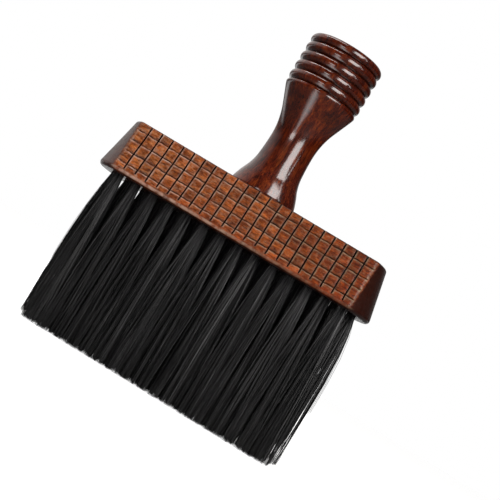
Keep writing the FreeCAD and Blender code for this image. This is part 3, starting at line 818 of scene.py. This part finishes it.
def bristle():
    """Near-black nylon filament, each with its own tone, the lightest partly a painted highlight, all of them
    given painted light close to the block.
    """
    material, tree, shader, place = new_material("black_filament")
    # Tones differ at random per filament; the lightest partly stand for filaments catching light, a painted
    # highlight.
    shades = ((0.1, (0.005, 0.005, 0.0054)), (0.72, (0.021, 0.021, 0.022)), (0.95, (0.07, 0.07, 0.072)))
    base = ramp(tree, attribute(tree, "tone"), shades)
    mottle = stretched_noise(tree, place, (6, 6, 1), 120, 3)
    base = tint(tree, base, ramp(tree, mottle, ((0.3, 0.55), (0.7, 1.35))), 0.6)
    # Painted light: filaments up to 2.8 times lighter towards the block, offsetting the block's shadow on them.
    low, high = ((BLOCK_BASE - below) * MM for below in PAINTED_LIGHT_BELOW)
    base = tint(tree, base, map_range(tree, axes(tree, place)[2], low, high, 1.0, 2.8))
    fill(tree, shader, {
        "Base Color": base,
        "Roughness": ramp(tree, mottle, ((0.3, 0.32), (0.7, 0.5))),
        "Specular IOR Level": 0.4,
        "IOR": 1.5,
    })
    return material


def bare_wood():
    """Unfinished beech of the dowel, its grain along its length."""
    material, tree, shader, place = new_material("bare_beech")
    colours = ((0.42, 0.27, 0.15), (0.56, 0.39, 0.23), (0.66, 0.49, 0.31))
    base, height = wood_grain(tree, place, 2, colours)
    fill(tree, shader, {
        "Base Color": base,
        "Roughness": ramp(tree, height, ((0.2, 0.7), (0.8, 0.85))),
        "Normal": bump(tree, height, 0.08, 0.8),
    })
    return material


def wire():
    """Flat zinc-coated wire of the tuft anchors, drawn and slightly dull."""
    material, tree, shader, place = new_material("anchor_zinc_wire")
    drawn = stretched_noise(tree, place, (1, 1, 14), 900, 3)
    fill(tree, shader, {
        "Base Color": ramp(tree, drawn, ((0.3, (0.44, 0.45, 0.46)), (0.7, (0.6, 0.61, 0.62)))),
        "Roughness": ramp(tree, drawn, ((0.3, 0.28), (0.7, 0.45))),
        "Normal": bump(tree, drawn, 0.01, 0.6),
        "Metallic": 1.0,
    })
    return material


def put_on(obj, material):
    """Gives the object this one material."""
    obj.data.materials.clear()
    obj.data.materials.append(material)


# ---------------------------------------------------------------- scene

AZIMUTH = math.radians(5.19)
ELEVATION = math.radians(-3.44)
ROLL = math.radians(31.33)
DISTANCE = 0.5557
AIM = Vector((0.0074, 0.0, 0.0702))
SENSOR = 36.0
LENS = 98.76

# Softboxes, in m, aim at the handle's foot.
LIGHT_AIM = Vector((0, 0, 0.09))
LIGHT_COLOUR = (1, 0.975, 0.955)

# Floor, in m. The strip's middle runs along x = y * STRIP_SLANT in front of STRIP_START, and its glow fades
# between the two half widths. The rear glow starts behind REAR_START, further back on the right.
FLOOR_HALF = 8.0
FLOOR_GLOW = 0.85
STRIP_SLANT = 0.32
STRIP_HALF_WIDTHS = (0.004, 0.06)
STRIP_START = -0.06
STRIP_GLOW = 2.6
REAR_SLANT = 2.5
REAR_START = 0.5
REAR_GLOW = 0.8


def view_axes():
    """Right, up and back of an upright camera on the viewing side."""
    level = math.cos(ELEVATION)
    back = Vector((math.sin(AZIMUTH) * level, -math.cos(AZIMUTH) * level, math.sin(ELEVATION)))
    right = Vector((math.cos(AZIMUTH), math.sin(AZIMUTH), 0))
    return right, back.cross(right), back


def make_camera():
    """Camera in front of and a little below the block, rolled so that the brush leans."""
    right, up, back = view_axes()
    data = bpy.data.cameras.new("camera")
    data.sensor_width = SENSOR
    data.lens = LENS
    data.clip_start = 0.01
    data.clip_end = 50
    camera = bpy.data.objects.new("camera", data)
    bpy.context.scene.collection.objects.link(camera)
    rolled_right = right * math.cos(ROLL) + up * math.sin(ROLL)
    rolled_up = up * math.cos(ROLL) - right * math.sin(ROLL)
    turn = Matrix((rolled_right, rolled_up, back)).transposed()
    camera.matrix_world = Matrix.Translation(AIM + back * DISTANCE) @ turn.to_4x4()
    bpy.context.scene.camera = camera


def softbox(name, way, along, distance, width, height, power):
    """Area light aimed at the handle's foot: way leads to it and along is its long side,
    both as parts to the right of, above and behind the upright camera."""
    way = sum((axis * part for axis, part in zip(view_axes(), way)), Vector()).normalized()
    along = sum((axis * part for axis, part in zip(view_axes(), along)), Vector())
    along = (along - way * along.dot(way)).normalized()
    data = bpy.data.lights.new(name, "AREA")
    data.shape = "RECTANGLE"
    data.size = width
    data.size_y = height
    data.energy = power
    data.color = LIGHT_COLOUR
    light = bpy.data.objects.new(name, data)
    bpy.context.scene.collection.objects.link(light)
    light.location = LIGHT_AIM + way * distance
    turn = Matrix((along, way.cross(along), way)).transposed()
    light.rotation_euler = turn.to_euler()
    light.visible_camera = False
    return light


def make_world():
    """White to the camera. As light it fades from the left and the back to the right and the front, and
    towards the horizon."""
    world = bpy.data.worlds.new("studio")
    bpy.context.scene.world = world
    world.use_nodes = True
    tree = world.node_tree
    tree.nodes.clear()
    x, y, z = axes(tree, node(tree, "ShaderNodeTexCoord").outputs["Generated"])
    behind = math_node(tree, "MULTIPLY_ADD", y, 0.75, math_node(tree, "MULTIPLY", x, -0.8))
    fade = map_range(tree, behind, 0.22, 1.0, 0.03, 0.8)
    fade = math_node(tree, "MULTIPLY", fade, map_range(tree, z, 0.06, 0.24, 0.1, 1.0))
    light = node(tree, "ShaderNodeBackground", {"Color": (1, 0.98, 0.96, 1), "Strength": fade})
    plain = node(tree, "ShaderNodeBackground", {"Color": (1, 1, 1, 1), "Strength": 1.0})
    seen = node(tree, "ShaderNodeLightPath").outputs["Is Camera Ray"]
    both = node(tree, "ShaderNodeMixShader", {0: seen, 1: light.outputs[0], 2: plain.outputs[0]})
    node(tree, "ShaderNodeOutputWorld", {0: both.outputs[0]})


def reflected_glow(tree, place):
    """Glow of the floor's parts that lie in front of the brush, a slanting strip, and well behind it."""
    x, y, _ = axes(tree, place)
    aside = math_node(tree, "ABSOLUTE", math_node(tree, "MULTIPLY_ADD", y, -STRIP_SLANT, x))
    strip = map_range(tree, aside, STRIP_HALF_WIDTHS[0], STRIP_HALF_WIDTHS[1], STRIP_GLOW, 0.0)
    strip = math_node(tree, "MULTIPLY", strip, math_node(tree, "LESS_THAN", y, STRIP_START))
    start = math_node(tree, "MULTIPLY_ADD", x, REAR_SLANT, REAR_START)
    start = math_node(tree, "MAXIMUM", start, REAR_START)
    behind = math_node(tree, "GREATER_THAN", y, start)
    return math_node(tree, "MULTIPLY_ADD", behind, REAR_GLOW, strip)


def make_floor():
    """Plain pale floor, glowing like a light table, that the tips just touch. Off camera it is darker, and
    parts of it glow in reflections only. From below it is clear."""
    height = CAD_LOW.z
    corners = [(-1, -1), (1, -1), (1, 1), (-1, 1)]
    mesh = bpy.data.meshes.new("floor")
    mesh.from_pydata([(x * FLOOR_HALF, y * FLOOR_HALF, height) for x, y in corners], [], [(0, 1, 2, 3)])
    floor = bpy.data.objects.new("floor", mesh)
    bpy.context.scene.collection.objects.link(floor)
    material, tree, shader, place = new_material("floor_pale")
    rays = node(tree, "ShaderNodeLightPath").outputs
    seen = rays["Is Camera Ray"]
    pale = ramp(tree, stretched_noise(tree, place, (1, 1, 1), 3, 2), ((0.3, 0.86), (0.7, 0.88)))
    mirrored = math_node(tree, "MULTIPLY", reflected_glow(tree, place), rays["Is Glossy Ray"])
    fill(tree, shader, {
        "Base Color": mix(tree, seen, (0.1, 0.1, 0.1), pale),
        "Roughness": 0.9,
        "Specular IOR Level": 0.1,
        "Emission Color": (1, 1, 1, 1),
        "Emission Strength": math_node(tree, "MULTIPLY_ADD", seen, FLOOR_GLOW, mirrored),
    })
    below = node(tree, "ShaderNodeNewGeometry").outputs["Backfacing"]
    clear = node(tree, "ShaderNodeBsdfTransparent").outputs[0]
    either = node(tree, "ShaderNodeMixShader", {0: below, 1: shader.outputs[0], 2: clear}).outputs[0]
    tree.links.new(either, tree.nodes["Material Output"].inputs[0])
    put_on(floor, material)


def make_lights():
    """Soft window light from the upper right with a narrow bar beside it, a ceiling strip on the left, a
    strip by the camera, and a fill from behind that casts no highlights."""
    softbox("window", (0.45, 0.48, 0.75), (1, 0, 0), 1.1, 0.58, 0.95, 11)
    softbox("window_bar", (0.72, 0.55, 0.42), (0, 1, 0), 1.1, 0.75, 0.06, 0.8)
    softbox("ceiling", (-0.4, 0.86, -0.07), (-0.47, -0.27, -0.58), 1.1, 0.95, 0.12, 3)
    softbox("front_strip", (-0.38, 0.08, 0.92), (1, 0, 0), 1.2, 0.36, 0.18, 1.2)
    back = softbox("back_fill", (0.1, 0.45, -0.9), (1, 0, 0), 1.3, 0.9, 0.6, 9)
    back.visible_glossy = False


def build():
    """The brush's block, handle and tufts, on its one body, and the materials of the dowel and the anchors."""
    block = make_block()
    put_on(block, block_wood())
    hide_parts("brush_block")
    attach(block, "root")
    handle = make_handle()
    put_on(handle, handle_wood())
    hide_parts("handle")
    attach(handle, "root")
    filament = bristle()
    rng = np.random.default_rng(SEED + 2)
    for stem, count, y in tuft_rows():
        for number in range(count):
            node_name = "tuft_%s_%02d" % (stem, number + 1)
            low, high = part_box(node_name)
            x = (low.x + high.x) / 2 / MM
            tuft = make_tuft("bristles_%s_%02d" % (stem, number + 1), x, y, rng)
            put_on(tuft, filament)
            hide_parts(node_name)
            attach(tuft, "root")
    put_on(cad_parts["handle_dowel"], bare_wood())
    metal = wire()
    for name in ("anchors_front", "anchors_middle", "anchors_back"):
        put_on(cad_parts[name], metal)


build()
make_camera()
make_world()
make_floor()
make_lights()
bpy.context.scene.view_settings.view_transform = "Standard"
